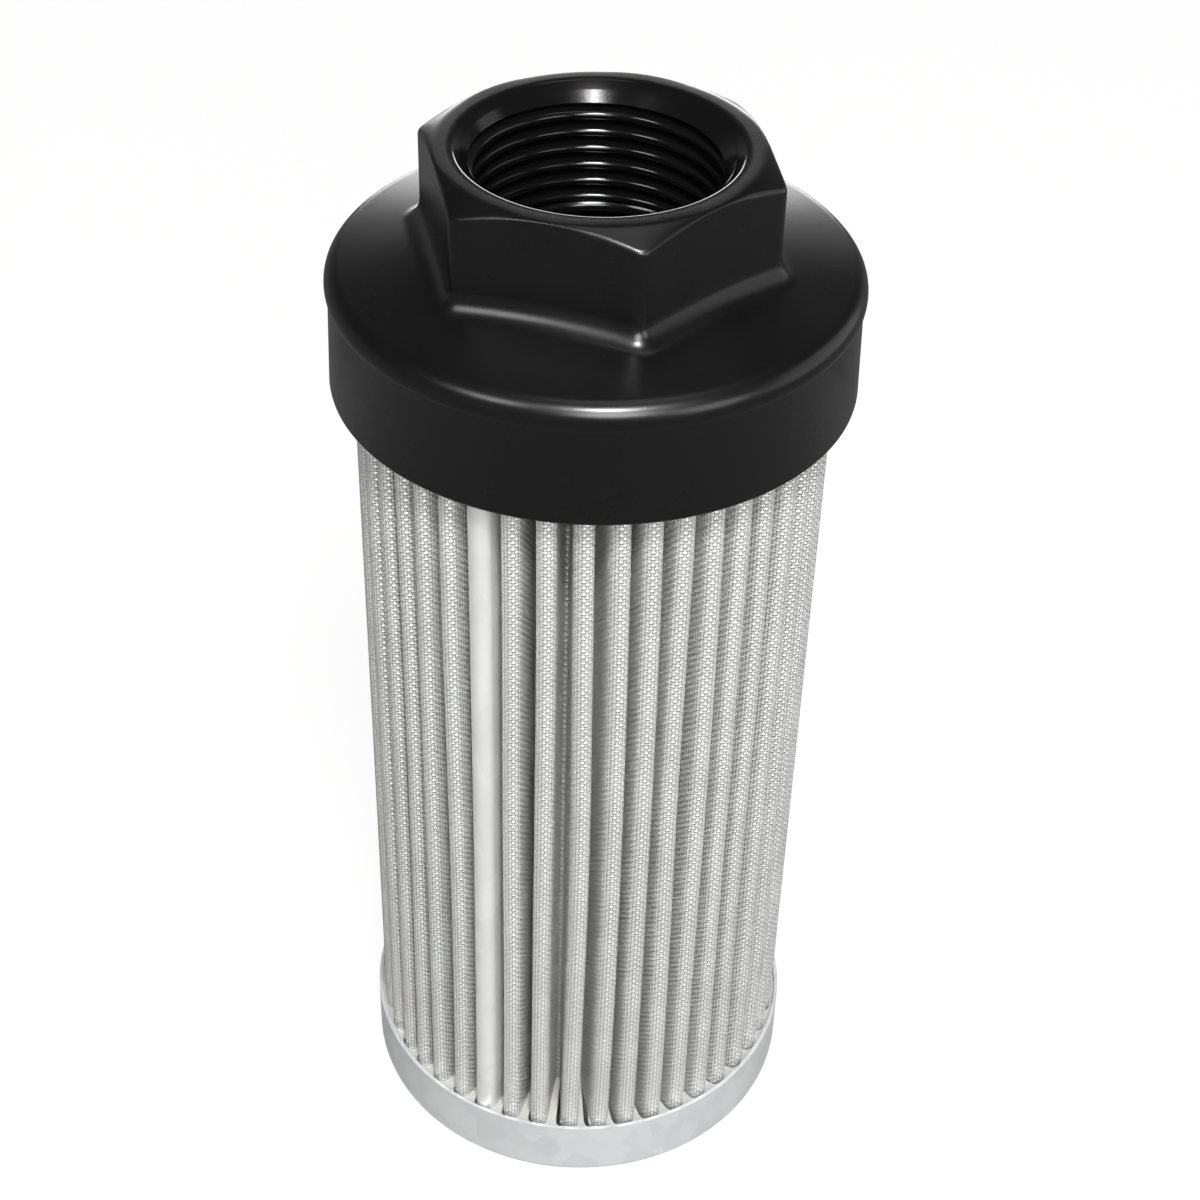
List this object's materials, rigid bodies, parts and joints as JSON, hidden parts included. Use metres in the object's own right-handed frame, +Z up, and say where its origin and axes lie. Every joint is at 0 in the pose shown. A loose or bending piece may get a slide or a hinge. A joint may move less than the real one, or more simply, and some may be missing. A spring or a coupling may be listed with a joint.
{
  "type": "hydraulic suction strainer",
  "caption": "Cylindrical suction strainer with a pleated wire-mesh sleeve, a closed steel end cap and a black hexagon head with a female pipe thread, for a pump's suction line inside a tank.",
  "frame": {"origin": "centre of the end cap's underside", "axes": "+Z up the axis towards the threaded head; two corners of the hexagon lie on the Y axis"},
  "size_m": [0.0682, 0.0682, 0.1567],
  "materials": {
    "nylon": "moulded glass-filled nylon, semi-matt",
    "fine_mesh": "woven stainless wire cloth",
    "coarse_mesh": "woven support wire",
    "clip_steel": "bright strip",
    "tube_steel": "galvanised",
    "epoxy": "cast resin",
    "cap_steel": "galvanised, drawn"
  },
  "bodies": {
    "root": {"threaded_head": "nylon", "filter_mesh": "fine_mesh", "support_mesh": "coarse_mesh", "seam_clip": "clip_steel", "core_tube": "tube_steel", "top_potting": "epoxy", "bottom_potting": "epoxy", "end_cap": "cap_steel"}
  },
  "joints": []
}
